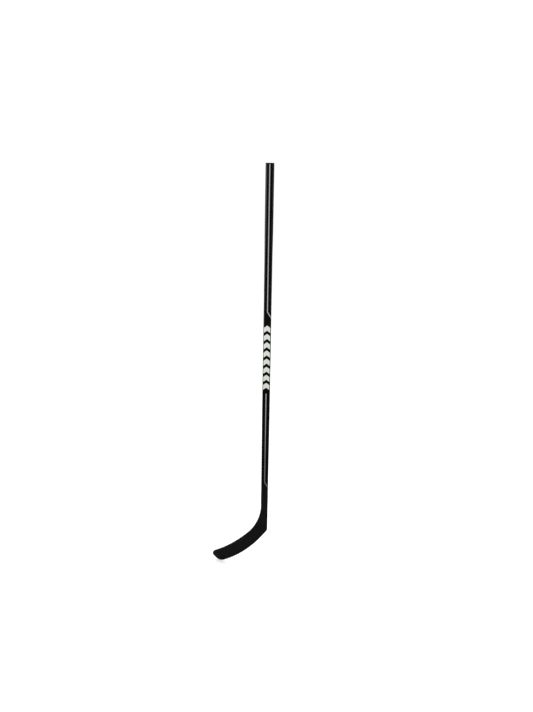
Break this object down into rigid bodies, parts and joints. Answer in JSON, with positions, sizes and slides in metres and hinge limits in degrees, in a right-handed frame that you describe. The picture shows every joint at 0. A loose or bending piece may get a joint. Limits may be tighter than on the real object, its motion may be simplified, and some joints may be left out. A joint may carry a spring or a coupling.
{
  "type": "ice hockey stick",
  "caption": "Upright left-handed ice hockey stick: a hollow laminate shaft with a curved moulded blade bonded into its lower end.",
  "frame": {"origin": "centre of the flat face of the butt end, where the top hand closes over the stick", "axes": "+Z along the shaft, from the blade to the butt end; +X away from the toe, across the shaft's broad faces; +Y the side towards which the blade curves"},
  "size_m": [0.2489, 0.0819, 1.7047],
  "materials": {
    "shaft_laminate": "black carbon laminate under a clear gloss coat",
    "blade_laminate": "black moulded carbon laminate, satin",
    "wrap_laminate": "black painted laminate wrap, satin",
    "toe_plastic": "black moulded toe, matt",
    "plug_plastic": "black moulded plug, matt",
    "damping_foam": "closed-cell foam",
    "core_foam": "rigid foam",
    "inner_laminate": "raw moulded laminate",
    "adhesive": "cured adhesive",
    "stripe_film": "printed grey film",
    "mark_film": "printed off-white film"
  },
  "bodies": {
    "root": {"shaft_tube": "shaft_laminate", "butt_plug": "plug_plastic", "butt_foam": "damping_foam", "hosel_tenon": "inner_laminate", "tenon_glue": "adhesive", "joint_wrap": "wrap_laminate", "heel_block": "inner_laminate", "lower_core": "core_foam", "blade_rib": "inner_laminate", "upper_core": "core_foam", "forehand_skin": "blade_laminate", "backhand_skin": "blade_laminate", "sole_band": "blade_laminate", "top_band": "blade_laminate", "toe_insert": "toe_plastic", "front_stripe_upper": "stripe_film", "front_stripe_lower": "stripe_film", "front_marks": "mark_film", "back_stripe_upper": "stripe_film", "back_stripe_lower": "stripe_film", "back_marks": "mark_film"}
  },
  "joints": []
}
